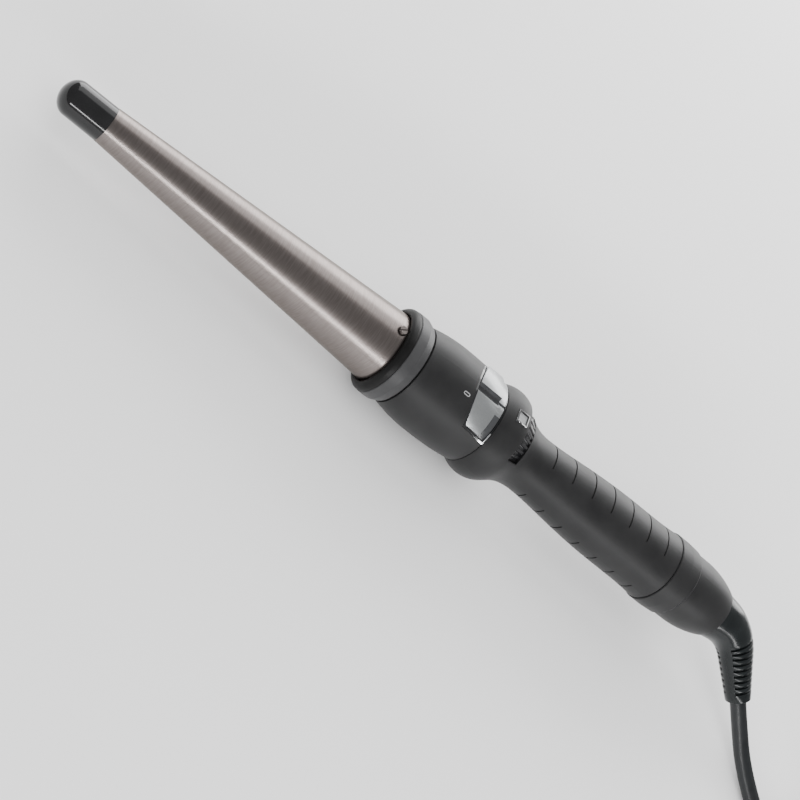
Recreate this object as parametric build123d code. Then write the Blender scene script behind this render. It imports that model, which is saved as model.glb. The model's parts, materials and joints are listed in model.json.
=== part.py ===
from build123d import *
import os
from math import asin, atan2, degrees, pi, radians, tan

# Curling wand, lying on a flat surface with its controls up.
# Each piece is first shaped in the wand's own frame: X along the axis from the tip's end to the
# handle, the axis at Y = Z = 0, the controls towards +Z. place() then lays it on the surface.
# Angles about the axis count from the top, positive towards -Y.
# Lengths are millimetres.

# ---- lengths along the axis, in order from the tip ----
tip_length = 18.0
barrel_length = 123.2
lip_depth = 3.2
band_length = 7.1
guard_seam = 0.8
head_length = 35.9
collar_seam = 0.3
bulge_length = 24.3
grip_length = 74.9
cap_seam = 0.4
cap_length = 34.6

# ---- outer radii ----
tip_r = 6.6
tip_dome = 5.3
tip_inner_x = 3.0
tip_spigot = 12.0
tip_wall = 1.6
barrel_root_r = 14.25
barrel_swell = 0.15
lip_r = 17.4
lip_front_r = 16.1
band_r = 17.7
band_land = 4.0
band_rear_r = 16.5
head_front_r = 16.5
head_r = 18.38
head_rear_r = 17.1
bulge_r = 19.14
bulge_crest = 6.9
bulge_half = 10.0
neck_r = 11.8
grip_r = 14.35
grip_rear_r = 15.0
cap_r = 15.4
cap_waist_r = 14.45
cap_rear_r = 11.2
cap_step = 11.8
cap_waist = 19.4
cap_shoulder = 27.7
cap_lip = 10.5

# ---- walls and clearances ----
barrel_wall = 1.2
shell_wall = 2.0
fit_gap = 0.05
body_gap = 0.3
running_gap = 0.1

# ---- heater ----
heater_thickness = 2.4
heater_half_width = 5.0
heater_front = 20.0
heater_length = 98.0
spreader_length = 90.0
spreader_wall = 2.2
clip_width = 3.0
clip_thickness = 0.8
sensor_r = 1.0
sensor_length = 5.0
fuse_r = 1.9
fuse_length = 8.0

# ---- barrel seat and its screws ----
seat_length = 13.0
seat_bore_r = 8.0
lip_overlap = 5.8
barrel_screw_setback = 1.9
barrel_screw_head_r = 1.8
barrel_screw_head = 1.0
barrel_screw_r = 1.0
barrel_screw_length = 4.5
screw_slot = 0.5

# ---- power rocker ----
rocker_setback = 21.7
rocker_pad_length = 10.5
rocker_ledge = 3.1
rocker_reach = 13.2
rocker_field_angle = 62.0
rocker_plan_r = 25.0
rocker_top_r = 18.4
rocker_inner_r = 15.2
rocker_ledge_r = 17.2
rocker_valley_half = 2.6
rocker_valley_depth = 1.7
rocker_pivot_z = 12.0
rocker_tilt = 3.5
rocker_pin_r = 1.0
rocker_boss_half = 2.2
bezel_rim = 0.7
bezel_gap = 0.35
bezel_inner_r = 15.7
trim_width = 0.5
trim_angle = 38.0
switch_half_width = 7.0
switch_height = 8.0
switch_ear = 2.0

# ---- chassis ----
chassis_wall = 2.0
tray_thickness = 2.0
tray_lip = 6.0
bracket_thickness = 1.6
bracket_half_width = 9.0
bracket_rise = 6.0
wire_gate_half_width = 5.5
wire_gate_top = -6.5
wire_slot_inner = 4.4
wire_slot_outer = 7.2
wire_slot_bottom = -9.0
wire_slot_top = 4.2
wire_r = 0.7

# ---- thermostat dial ----
dial_lift = 3.4
wheel_r = 13.9
wheel_rear_r = 11.6
wheel_width = 5.0
wheel_setback = 11.4
wheel_ribs = 32
wheel_groove_r = 0.75
wheel_slot_half_angle = 50.0
drum_r = 12.3
drum_width = 8.0
drum_wall = 1.2
dial_shaft_r = 3.0
pot_half_width = 5.5
pot_height = 10.4
pot_width = 4.0
pot_bottom = -2.4
window_size = 5.2
window_frame_wall = 0.6
window_lens_depth = 1.2

# ---- handle ----
groove_count = 7
groove_pitch = 10.0
groove_setback = 7.0
groove_width = 0.6
groove_depth = 0.5
groove_front_angle = 16.5
grip_spigot_r = 13.2
grip_spigot = 9.0
case_screw_places = (33.0, 71.0)
case_screw_r = 1.3
case_screw_head_r = 2.4
case_screw_head = 2.0
case_boss_r = 3.0

# ---- board ----
board_setback = 6.0
board_length = 62.0
board_half_width = 9.0
board_thickness = 1.6
board_drop = 3.0
board_rib = 2.0

# ---- swivel and strain relief ----
core_r = 5.0
slip_ring = 1.5
slip_ring_width = 2.0
brush_thickness = 0.6
holder_width = 3.0
sleeve_flange_r = 11.8
sleeve_flange = 5.0
sleeve_r = 10.4
sleeve_mid_r = 7.9
sleeve_end_r = 5.2
sleeve_neck = 15.0
sleeve_tail = 30.0
sleeve_heading = Vector(0.71, -0.604, -0.362).normalized()

# ---- mains lead and plug ----
cord_r = 3.4
cord_route = [
    (207.1, -26.0, 8.45), (217.6, -36.2, 4.5), (231.5, -50.5, 3.4), (246.5, -61.8, 3.7),
    (263.5, -69.2, 7.0), (281.5, -72.6, 12.2), (299.0, -73.4, 16.6), (314.1, -72.9, 17.8),
]
coil_centre = Vector(318.0, -28.7, 0.0)
coil_inner_r = 27.4
coil_wide_turns = 3
coil_layers = 3
cord_tail_route = [
    (331.4, -71.0, 4.2), (341.2, -67.8, 4.5), (350.6, -64.4, 5.2), (359.8, -60.7, 6.5),
]
tie_thickness = 0.8
tie_width = 12.0
tie_angle = 100.0
plug_relief_length = 22.0
plug_relief_mouth_r = 4.2
plug_relief_r = 5.6
plug_width = 35.3
plug_rear_width = 16.0
plug_thickness = 13.0
plug_length = 18.0
plug_face_length = 7.0
plug_pin_r = 2.0
plug_pin_core_r = 1.5
plug_pin_length = 19.0
plug_pin_cover = 10.0
plug_pin_cover_r = 1.7
plug_pin_root = 8.0
plug_pin_spacing = 18.6

# ---- stations along the axis ----
barrel_x = tip_length
lip_x = barrel_x + barrel_length
band_x = lip_x + lip_depth
band_end_x = band_x + band_length
head_x = band_end_x + guard_seam
head_end_x = head_x + head_length
bulge_x = head_end_x + collar_seam
neck_x = bulge_x + bulge_length
grip_end_x = neck_x + grip_length
cap_x = grip_end_x + cap_seam
cap_end_x = cap_x + cap_length
barrel_end_x = lip_x + lip_overlap
crest_x = bulge_x + bulge_crest


# ---- shaping helpers ----
def lathe(*edges, start=0.0, arc=360.0):
    """Turn a closed outline in the XZ half-plane about the wand's axis."""
    return revolve(Rot(start, 0, 0) * make_face(Curve() + list(edges)), Axis.X, arc)


def turned(points, start=0.0, arc=360.0):
    """Turn a closed polygon of (x, radius) points."""
    return lathe(Polyline([(x, 0, r) for x, r in points], close=True), start=start, arc=arc)


def ring(x0, x1, r0, r1, start=0.0, arc=360.0):
    return turned([(x0, r0), (x1, r0), (x1, r1), (x0, r1)], start=start, arc=arc)


def block(x0, x1, y0, y1, z0, z1):
    size = (x1 - x0, y1 - y0, z1 - z0)
    centre = ((x0 + x1) / 2, (y0 + y1) / 2, (z0 + z1) / 2)
    return Pos(*centre) * Box(*size)


def bar(x0, x1, radius, y=0.0, z=0.0):
    """A round bar along X."""
    return Pos((x0 + x1) / 2, y, z) * Rot(0, 90, 0) * Cylinder(radius, x1 - x0)


def post(x, y, z0, z1, radius):
    """A round bar along Z."""
    return Pos(x, y, (z0 + z1) / 2) * Cylinder(radius, z1 - z0)


def outline(points, wall=0.0):
    """A smooth curve through (x, radius) points, moved inwards by a wall."""
    return Spline([(x, 0, r - wall) for x, r in points])


def tube_shell(points, wall):
    """A turned shell between a smooth outline and the same outline moved in by the wall."""
    outer, inner = outline(points), outline(points, wall)
    front = Line(inner @ 0, outer @ 0)
    rear = Line(outer @ 1, inner @ 1)
    return lathe(outer, rear, inner, front)


def solid_within(points, shrink):
    """The space inside a smooth outline."""
    edge = outline(points, shrink)
    first, last = edge @ 0, edge @ 1
    return lathe(edge, Polyline([last, (last.X, 0, 0), (first.X, 0, 0), first]))


def bend_radii(points):
    """The largest arc for each corner of a route, from its two runs and its turn."""
    radii = []
    for before, corner, after in zip(points, points[1:], points[2:]):
        run_in, run_out = corner - before, after - corner
        half_turn = radians(run_in.get_angle(run_out)) / 2
        radii.append(0.45 * min(run_in.length, run_out.length) / tan(half_turn))
    return radii


def route(points):
    """Straight runs joined by tangent arcs."""
    return FilletPolyline(points, radius=bend_radii(points))


def wire(points, radius):
    path = route([Vector(*p) for p in points])
    return sweep(Plane(origin=path @ 0, z_dir=path % 0) * Circle(radius), path=path)


def together(*shapes):
    """Several separate solids as one node."""
    return Compound(children=[solid for shape in shapes for solid in shape.solids()])


# ---- outlines shared by neighbouring pieces ----
def barrel_radius(x):
    """Outer radius of the tapered barrel at a station."""
    share = min(max((x - barrel_x) / barrel_length, 0.0), 1.0)
    return tip_r + (barrel_root_r - tip_r) * share + barrel_swell * 4 * share * (1 - share)


barrel_points = [(barrel_x + barrel_length * share, barrel_radius(barrel_x + barrel_length * share))
                 for share in (0.0, 0.25, 0.5, 0.75, 1.0)]

head_points = [
    (head_x, head_front_r),
    (head_x + 0.13 * head_length, head_front_r + 0.5 * (head_r - head_front_r)),
    (head_x + 0.33 * head_length, head_r - 0.1),
    (head_x + 0.52 * head_length, head_r),
    (head_x + 0.79 * head_length, head_r - 0.35),
    (head_end_x, head_rear_r),
]

grip_points = [
    (bulge_x, head_rear_r + 0.1),
    (crest_x - 0.72 * bulge_crest, bulge_r - 0.95),
    (crest_x, bulge_r),
    (crest_x + 0.49 * bulge_half, bulge_r - 1.2),
    (crest_x + bulge_half, bulge_r - 4.5),
    (neck_x, neck_r + 0.25),
    (neck_x + 0.1 * grip_length, neck_r),
    (neck_x + 0.35 * grip_length, neck_r + 0.55 * (grip_r - neck_r)),
    (neck_x + 0.65 * grip_length, grip_r - 0.05),
    (neck_x + 0.88 * grip_length, grip_r + 0.1),
    (grip_end_x, grip_rear_r),
]

# ---- cool tip and barrel ----
tip_spigot_r = tip_r - barrel_wall - fit_gap
dome_r = tip_r - 0.1
dome = Bezier((0, 0, 0), (0, 0, 0.55 * dome_r), (0.45 * tip_dome, 0, dome_r), (tip_dome, 0, dome_r))
cool_tip = lathe(
    dome,
    Polyline([(tip_dome, 0, dome_r), (tip_length, 0, tip_r), (tip_length, 0, tip_spigot_r),
              (tip_length + tip_spigot, 0, tip_spigot_r),
              (tip_length + tip_spigot, 0, tip_spigot_r - tip_wall),
              (tip_inner_x, 0, tip_spigot_r - tip_wall), (tip_inner_x, 0, 0), (0, 0, 0)]),
)

barrel_outer, barrel_inner = outline(barrel_points), outline(barrel_points, barrel_wall)
barrel = lathe(
    barrel_outer,
    Polyline([barrel_outer @ 1, (barrel_end_x, 0, barrel_root_r),
              (barrel_end_x, 0, barrel_root_r - barrel_wall), barrel_inner @ 1]),
    barrel_inner,
    Line(barrel_inner @ 0, barrel_outer @ 0),
)

# ---- heater ----
heater_x = barrel_x + heater_front
heater_end_x = heater_x + heater_length
spreader_end_x = heater_x + spreader_length
heater_plate = block(heater_x, heater_end_x, -heater_half_width, heater_half_width,
                     -heater_thickness / 2, heater_thickness / 2)


def inside_barrel(x, gap):
    return barrel_radius(x) - barrel_wall - gap


def cone(x0, x1, gap):
    """A tapered body that follows the barrel's bore."""
    stations = [x0 + (x1 - x0) * share for share in (0.0, 0.5, 1.0)]
    edge = Spline([(x, 0, inside_barrel(x, gap)) for x in stations])
    return lathe(edge, Polyline([edge @ 1, (x1, 0, 0), (x0, 0, 0), edge @ 0]))


clip_places = (heater_x + 8.0, spreader_end_x - 12.0)
spreader_skin = cone(heater_x, spreader_end_x, fit_gap)
spreader_skin -= cone(heater_x, spreader_end_x, fit_gap + spreader_wall)
spreader_base = block(heater_x, spreader_end_x, -barrel_root_r, barrel_root_r,
                      heater_thickness / 2, heater_thickness / 2 + spreader_wall)
spreader = spreader_skin + (cone(heater_x, spreader_end_x, fit_gap) & spreader_base)
spreader = spreader & block(heater_x, spreader_end_x, -barrel_root_r, barrel_root_r,
                            heater_thickness / 2, barrel_root_r)
clips = []
for clip_x in clip_places:
    band = cone(clip_x, clip_x + clip_width, 2 * fit_gap)
    clips.append(band - cone(clip_x, clip_x + clip_width, 2 * fit_gap + clip_thickness))
    groove = cone(clip_x, clip_x + clip_width, -fit_gap)
    spreader -= groove - cone(clip_x, clip_x + clip_width, 2 * fit_gap + clip_thickness)
heat_spreader_upper = spreader
heat_spreader_lower = Rot(180, 0, 0) * spreader
spreader_clips = together(*clips)

sensor_x = spreader_end_x + 0.4
thermistor = bar(sensor_x, sensor_x + sensor_length, sensor_r, z=heater_thickness / 2 + sensor_r)
thermal_fuse = bar(sensor_x, sensor_x + fuse_length, fuse_r, z=-heater_thickness / 2 - fuse_r)

# ---- barrel seat, guard and screws ----
seat_x = barrel_end_x - seat_length
seat_end_x = head_x - 0.4
seat_flange_r = band_rear_r - 0.65
barrel_seat = turned([
    (seat_x, seat_bore_r), (seat_end_x, seat_bore_r), (seat_end_x, seat_flange_r),
    (barrel_end_x, seat_flange_r), (barrel_end_x, inside_barrel(barrel_end_x, fit_gap)),
    (seat_x, inside_barrel(seat_x, fit_gap)),
])

screw_x = lip_x - barrel_screw_setback
screw_seat_r = barrel_radius(screw_x + barrel_screw_head_r) - 0.1
screw_tip_r = screw_seat_r - barrel_screw_length
screw_head = post(screw_x, 0, screw_seat_r, screw_seat_r + barrel_screw_head, barrel_screw_head_r)
screw_head = fillet(screw_head.edges().sort_by(Axis.Z)[-1], 0.4)
screw_shank = post(screw_x, 0, screw_tip_r, screw_seat_r, barrel_screw_r)
slot_z = screw_seat_r + barrel_screw_head
slot = block(screw_x - 2 * barrel_screw_head_r, screw_x + 2 * barrel_screw_head_r,
             -screw_slot / 2, screw_slot / 2, slot_z - screw_slot, slot_z + 1)
barrel_screw = screw_head + screw_shank - Pos(screw_x, 0, 0) * Rot(0, 0, 35) * Pos(-screw_x, 0, 0) * slot
screw_turns = (0.0, 180.0)
barrel_screws = together(*[Rot(turn, 0, 0) * barrel_screw for turn in screw_turns])
for turn in screw_turns:
    barrel -= Rot(turn, 0, 0) * post(screw_x, 0, 0, screw_seat_r + 5, barrel_screw_r + fit_gap)
    head_hole = post(screw_x, 0, screw_seat_r, screw_seat_r + 5, barrel_screw_head_r + fit_gap)
    barrel -= Rot(turn, 0, 0) * head_hole
    barrel_seat -= Rot(turn, 0, 0) * post(screw_x, 0, 0, screw_seat_r + 5, barrel_screw_r + 0.02)

lip_bore_r = barrel_root_r + fit_gap
lip_hub_r = band_rear_r - 0.6
lip_nose = ThreePointArc((lip_x, 0, lip_front_r - 0.6), (lip_x + 0.55, 0, lip_front_r + 0.55),
                         (band_x, 0, lip_r))
lip_dish = ThreePointArc((lip_x + 1.3, 0, lip_bore_r), (lip_x + 0.5, 0, lip_bore_r + 0.25),
                         (lip_x, 0, lip_front_r - 0.6))
guard_lip = lathe(
    lip_nose,
    Polyline([(band_x, 0, lip_r), (band_x, 0, lip_hub_r), (barrel_end_x, 0, lip_hub_r),
              (barrel_end_x, 0, lip_bore_r), (lip_x + 1.3, 0, lip_bore_r)]),
    lip_dish,
)
for turn in screw_turns:
    guard_lip -= Rot(turn, 0, 0) * post(screw_x, 0, 0, lip_r, barrel_screw_head_r + 0.3)

band_slope = Spline([(band_x + band_land, 0, band_r), (band_x + 0.78 * band_length, 0, band_r - 0.55),
                     (band_end_x, 0, band_rear_r)])
guard_band = lathe(
    Line((band_x, 0, lip_hub_r), (band_x, 0, band_r - 0.4)),
    ThreePointArc((band_x, 0, band_r - 0.4), (band_x + 0.12, 0, band_r - 0.12), (band_x + 0.4, 0, band_r)),
    Line((band_x + 0.4, 0, band_r), (band_x + band_land, 0, band_r)),
    band_slope,
    Polyline([(band_end_x, 0, band_rear_r), (band_end_x, 0, lip_hub_r), (band_x, 0, lip_hub_r)]),
)

# ---- head shell, switch and chassis ----
rocker_x = head_x + rocker_setback
rocker_pad_end_x = rocker_x + rocker_pad_length
rocker_end_x = rocker_pad_end_x + rocker_ledge


def switch_zone(grow, r0, r1, x1):
    """The arched field of the rocker on the head, widened by a margin; its ends clear the swing."""
    field = ring(rocker_x - grow - 1, x1, r0, r1, start=-rocker_field_angle, arc=2 * rocker_field_angle)
    field &= post(rocker_x + rocker_plan_r, 0, 0, 2 * head_r, rocker_plan_r + grow)
    return field & bar(rocker_x - grow - 1, x1, rocker_reach + grow, z=rocker_pivot_z)


bezel_zone = switch_zone(bezel_gap + bezel_rim, bezel_inner_r, 2 * head_r, head_end_x)
head_shell = tube_shell(head_points, shell_wall)
head_shell -= switch_zone(bezel_gap + bezel_rim + fit_gap, 0.5 * head_r, 2 * head_r, head_end_x + 1)
rocker_bezel = (bezel_zone & solid_within(head_points, 0.15))
rocker_bezel -= switch_zone(bezel_gap, 0.5 * head_r, 2 * head_r, rocker_end_x + bezel_gap)
trim_r = head_rear_r - 0.15
rocker_trim = switch_zone(bezel_gap + bezel_rim, trim_r - 0.3, trim_r + 0.35, head_end_x)
rocker_trim -= switch_zone(bezel_gap + bezel_rim - trim_width, 0.5 * head_r, 2 * head_r,
                           head_end_x - trim_width)
rocker_trim &= ring(rocker_pad_end_x, head_end_x, 0.5 * head_r, 2 * head_r, start=trim_angle, arc=60)
rocker_bezel -= rocker_trim

rocker = switch_zone(0, rocker_inner_r, rocker_top_r, rocker_pad_end_x)
rocker += switch_zone(0, rocker_inner_r, rocker_ledge_r, rocker_end_x)
valley = Polyline([(0, -rocker_valley_half, rocker_top_r + 0.5), (0, 0, rocker_top_r - rocker_valley_depth),
                   (0, rocker_valley_half, rocker_top_r + 0.5)], close=True)
rocker -= Pos(rocker_x - 1, 0, 0) * extrude(make_face(valley), rocker_end_x - rocker_x + 2, dir=(1, 0, 0))
ear_front_x = rocker_x + 1.0
ear_rear_x = rocker_end_x - 1.6
boss_x0 = ear_front_x + switch_ear + body_gap
boss_x1 = ear_rear_x - switch_ear - body_gap
rocker += block(boss_x0, boss_x1, -rocker_boss_half, rocker_boss_half, rocker_pivot_z, rocker_inner_r + 0.8)
rocker += bar(boss_x0, boss_x1, rocker_boss_half, z=rocker_pivot_z)
rocker -= bar(boss_x0 - 1, boss_x1 + 1, rocker_pin_r + running_gap, z=rocker_pivot_z)
rocker = Pos(0, 0, rocker_pivot_z) * Rot(rocker_tilt, 0, 0) * Pos(0, 0, -rocker_pivot_z) * rocker

rocker_pin = bar(ear_front_x, ear_rear_x, rocker_pin_r, z=rocker_pivot_z)
switch_module = block(ear_front_x, ear_rear_x, -switch_half_width, switch_half_width, 0, switch_height)
for ear_x in (ear_front_x, ear_rear_x - switch_ear):
    switch_module += block(ear_x, ear_x + switch_ear, -rocker_boss_half, rocker_boss_half,
                           switch_height, rocker_pivot_z)
    switch_module += bar(ear_x, ear_x + switch_ear, rocker_boss_half, z=rocker_pivot_z)
switch_module -= bar(ear_front_x - 1, ear_rear_x + 1, rocker_pin_r + 0.02, z=rocker_pivot_z)

chassis_r = head_front_r - shell_wall - 0.1
chassis_floor_r = chassis_r - chassis_wall
bracket_x = head_end_x - 0.6
bracket_end_x = bracket_x + bracket_thickness
chassis = ring(seat_end_x, seat_end_x + chassis_wall, seat_bore_r, chassis_r)
chassis += ring(seat_end_x, bracket_end_x, chassis_floor_r, chassis_r, start=115, arc=130)
tray_x = rocker_x - 2
tray_half = chassis_floor_r * 0.99
tray = block(tray_x, bracket_x, -tray_half, tray_half, -tray_thickness, 0)
tray += block(tray_x, bracket_x, tray_half - chassis_wall, tray_half, -tray_lip, 0)
tray += block(tray_x, bracket_x, -tray_half, -tray_half + chassis_wall, -tray_lip, 0)
chassis += tray & bar(tray_x - 1, bracket_end_x, chassis_r)
bracket = block(bracket_x, bracket_end_x, -bracket_half_width, bracket_half_width,
                -chassis_r, dial_lift + bracket_rise)
chassis += bracket & bar(bracket_x, bracket_end_x, chassis_r)
chassis -= block(bracket_x - 1, bracket_end_x + 1, -wire_gate_half_width, wire_gate_half_width,
                 -chassis_floor_r, wire_gate_top)
for side in (-1, 1):
    slot_sides = sorted((side * wire_slot_inner, side * wire_slot_outer))
    chassis -= block(bracket_x - 1, bracket_end_x + 1, *slot_sides, wire_slot_bottom, wire_slot_top)
chassis -= bar(bracket_x - 1, bracket_end_x + 1, dial_shaft_r + running_gap, z=dial_lift)

# ---- grip halves ----
grip = tube_shell(grip_points, shell_wall)
grip += ring(grip_end_x - 3, cap_x + grip_spigot, grip_spigot_r - shell_wall, grip_spigot_r)
groove_x0 = neck_x + groove_setback
for index in range(groove_count):
    x = groove_x0 + index * groove_pitch
    cutter = ring(x, x + groove_width, grip_r - shell_wall - 3, 2 * grip_r, start=groove_front_angle,
                  arc=-270 - groove_front_angle)
    floor = solid_within(grip_points, groove_depth)
    grip -= cutter - floor

grip_upper = split(grip, Plane.XY, Keep.TOP)
grip_lower = split(grip, Plane.XY, Keep.BOTTOM)

wheel_x = bulge_x + wheel_setback
wheel_end_x = wheel_x + wheel_width
wheel_room = Pos(0, 0, dial_lift) * turned([
    (wheel_x - body_gap, 0), (wheel_end_x + body_gap, 0), (wheel_end_x + body_gap, wheel_rear_r + body_gap),
    (wheel_x + 1.0, wheel_r + body_gap), (wheel_x - body_gap, wheel_r + body_gap)])
grip_upper -= wheel_room
grip_lower -= wheel_room
grip_upper -= ring(wheel_x - body_gap, wheel_end_x + body_gap, 0.5 * bulge_r, 2 * bulge_r,
                   start=-wheel_slot_half_angle, arc=2 * wheel_slot_half_angle)
window_half = window_size / 2
window_depth = bulge_r - shell_wall - 1.0
grip_upper -= block(crest_x - window_half, crest_x + window_half, -window_half, window_half,
                    window_depth, 2 * bulge_r)

screw_stations = [neck_x + place for place in case_screw_places]
grip_core = solid_within(grip_points, shell_wall / 2)
screw_solids = []
for x in screw_stations:
    boss = post(x, 0, -2 * grip_r, 2 * grip_r, case_boss_r) & grip_core
    grip_upper += boss & block(x - 5, x + 5, -5, 5, 0, 2 * grip_r)
    grip_lower += boss & block(x - 5, x + 5, -5, 5, -2 * grip_r, 0)
    head_z = -grip_r + 3.2
    head = post(x, 0, head_z - case_screw_head, head_z, case_screw_head_r)
    cross = block(x - 1.6, x + 1.6, -0.25, 0.25, head_z - case_screw_head, head_z - case_screw_head + 0.7)
    cross += block(x - 0.25, x + 0.25, -1.6, 1.6, head_z - case_screw_head, head_z - case_screw_head + 0.7)
    screw_solids.append(head + post(x, 0, head_z, 7, case_screw_r) - cross)
    grip_lower -= post(x, 0, -2 * grip_r, head_z, case_screw_head_r + 0.25)
    grip_lower -= post(x, 0, head_z - 1, 1, case_screw_r + fit_gap)
    grip_upper -= post(x, 0, -1, 7.5, case_screw_r + 0.02)
case_screws = together(*screw_solids)

# ---- board ----
board_x = neck_x + board_setback
board_end_x = board_x + board_length
board_top = -board_drop + board_thickness
circuit_board = block(board_x, board_end_x, -board_half_width, board_half_width, -board_drop, board_top)
circuit_board -= post(screw_stations[0], 0, -board_drop - 1, board_top + 1, case_boss_r + body_gap)
for x in (board_x + 3, board_x + 20, board_end_x - 4):
    rib = block(x, x + board_rib, -grip_r, grip_r, -grip_r, -board_drop)
    grip_lower += rib & grip_core
triac = block(board_x + 6, board_x + 14, -4, 4, board_top, board_top + 3)
relay = block(board_x + 34, board_x + 48, -5, 5, board_top, board_top + 6)
resistor = bar(board_x + 52, board_x + 58, 1.2, y=4, z=board_top + 1.2)
capacitor = block(board_x + 34, board_x + 52, -5, 5, -board_drop - 6, -board_drop)
board_parts = together(triac, relay, resistor, capacitor)

# ---- thermostat dial, drum and potentiometer ----
pot_x = wheel_end_x + 2.4
wheel = turned([(wheel_x, dial_shaft_r + fit_gap), (wheel_end_x, dial_shaft_r + fit_gap),
                (wheel_end_x, wheel_rear_r), (wheel_x + 1.0, wheel_r), (wheel_x, wheel_r)])
slope = degrees(atan2(wheel_r - wheel_rear_r, wheel_width - 1.0))
for index in range(wheel_ribs):
    flute = Pos(wheel_x + wheel_width / 2, 0, (wheel_r + wheel_rear_r) / 2 + 0.45)
    flute = flute * Rot(0, 90 + slope, 0) * Cylinder(wheel_groove_r, 3 * wheel_width)
    wheel -= Rot(index * 360 / wheel_ribs, 0, 0) * flute
dial_wheel = Pos(0, 0, dial_lift) * wheel
drum_x = wheel_x - drum_width
number_drum = ring(drum_x, wheel_x, drum_r - drum_wall, drum_r)
number_drum += ring(wheel_x - drum_wall, wheel_x, dial_shaft_r + fit_gap, drum_r)
number_drum = Pos(0, 0, dial_lift) * number_drum
shaft_x0 = bracket_x - 0.5
pot_end_x = pot_x + pot_width
potentiometer = block(pot_x, pot_end_x, -pot_half_width, pot_half_width, pot_bottom, pot_bottom + pot_height)
dial_shaft = bar(shaft_x0, pot_end_x, dial_shaft_r, z=dial_lift)
potentiometer -= bar(pot_x - 1, pot_end_x + 1, dial_shaft_r + running_gap, z=dial_lift)
for side in (-1, 1):
    shelf = block(pot_x + 0.5, pot_x + 3.5, *sorted((side * 4.7, side * grip_r)), -8, pot_bottom)
    grip_lower += shelf & grip_core

# ---- window ----
window_top = bulge_r + 0.15
frame_half = window_half - fit_gap
lens_half = frame_half - window_frame_wall
frame_block = block(crest_x - frame_half, crest_x + frame_half, -frame_half, frame_half,
                    bulge_r - shell_wall, window_top)
lens_hole = block(crest_x - lens_half, crest_x + lens_half, -lens_half, lens_half,
                  bulge_r - shell_wall - 1, window_top + 1)
window_frame = frame_block - lens_hole
window_lens = block(crest_x - lens_half + fit_gap, crest_x + lens_half - fit_gap,
                    -lens_half + fit_gap, lens_half - fit_gap,
                    bulge_r - 0.5 - window_lens_depth, bulge_r - 0.5)

# ---- end cap, brushes and swivel ----
cap_lip_x = cap_end_x - cap_lip
cap_bore_r = grip_spigot_r + fit_gap
cap_mouth_r = sleeve_r + body_gap
holder_x = cap_x + grip_spigot
holder_end_x = holder_x + holder_width
cap_round = Spline([(cap_x + cap_waist, 0, cap_waist_r - 0.05), (cap_x + cap_shoulder, 0, cap_waist_r - 1.1),
                    (cap_end_x, 0, cap_rear_r)])
end_cap = lathe(
    Polyline([(cap_x, 0, cap_bore_r), (cap_x, 0, cap_r - 0.3), (cap_x + 0.3, 0, cap_r),
              (cap_x + cap_step / 2, 0, cap_r),
              (cap_x + cap_step - 0.8, 0, cap_r - 0.35), (cap_x + cap_step, 0, cap_waist_r),
              (cap_x + cap_waist, 0, cap_waist_r - 0.05)]),
    cap_round,
    Polyline([(cap_end_x, 0, cap_rear_r), (cap_end_x, 0, cap_mouth_r), (cap_lip_x, 0, cap_mouth_r),
              (cap_lip_x, 0, sleeve_flange_r + body_gap), (holder_end_x + 1, 0, sleeve_flange_r + body_gap),
              (holder_end_x, 0, cap_bore_r), (cap_x, 0, cap_bore_r)]),
)

brush_holder = ring(holder_x, holder_end_x, core_r + running_gap, grip_spigot_r - 0.1)
ring_r = core_r + slip_ring
brush_y = ring_r + body_gap
ring_places = (holder_x - 2 - slip_ring_width, holder_x - 3.2 - 2 * slip_ring_width)
brush_x = ring_places[1] - 0.5
slip_rings = together(*[ring(x, x + slip_ring_width, core_r + 0.02, ring_r) for x in ring_places])
contact_springs = together(*[
    block(brush_x, holder_x, *sorted((side * brush_y, side * (brush_y + brush_thickness))), -1.5, 1.5)
    for side in (-1, 1)])

flange_x = cap_lip_x - body_gap - sleeve_flange
core_x = ring_places[1] - 0.8
swivel_core = bar(core_x, flange_x, core_r)

# ---- wires inside ----
board_mid = board_top - board_thickness / 2
lane_z = -(bulge_r - 7.2)
slope_z = -10.2
rise_x = wheel_x + 1.8
slope_x = wheel_end_x + 1.5
heater_leads = []
switch_wires = []
mains_wires = []
for side in (-1, 1):
    heater_leads.append(wire([
        (heater_end_x, side * 2.5, 0), (heater_end_x + 4, side * 2.5, 0), (lip_x + 8, side * 2.3, -0.8),
        (head_x + 12, side * 1.6, -5.5),
        (head_end_x - 6, side * 1.2, -9.2), (crest_x, side * 1.2, lane_z),
        (rise_x, side * 1.25, lane_z - 0.1),
        (slope_x, side * 1.3, slope_z), (board_x - 5, side * 1.4, -4.2),
        (board_x - 2, side * 1.35, board_mid), (board_x, side * 1.35, board_mid)], wire_r))
    switch_wires.append(wire([
        (ear_rear_x, side * 6.0, 3.0), (bracket_x + 0.7, side * 6.0, 3.0),
        (bracket_x + 0.9, side * 5.6, -6.5),
        (crest_x - 2, side * 3.8, lane_z - 0.2), (rise_x, side * 3.65, lane_z - 0.3),
        (slope_x, side * 3.6, slope_z - 0.1), (board_x - 5, side * 3.7, -4.4),
        (board_x - 2, side * 3.65, board_mid), (board_x, side * 3.65, board_mid)], wire_r))
    mains_wires.append(wire([
        (brush_x - 0.1, side * (brush_y + brush_thickness / 2), 0), (brush_x - 3.5, side * 7.0, -0.6),
        (board_end_x + 2.5, side * 6.8, board_mid), (board_end_x, side * 6.8, board_mid)], wire_r))
heater_leads = together(*heater_leads)
switch_wires = together(*switch_wires)
mains_wires = together(*mains_wires)

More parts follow.
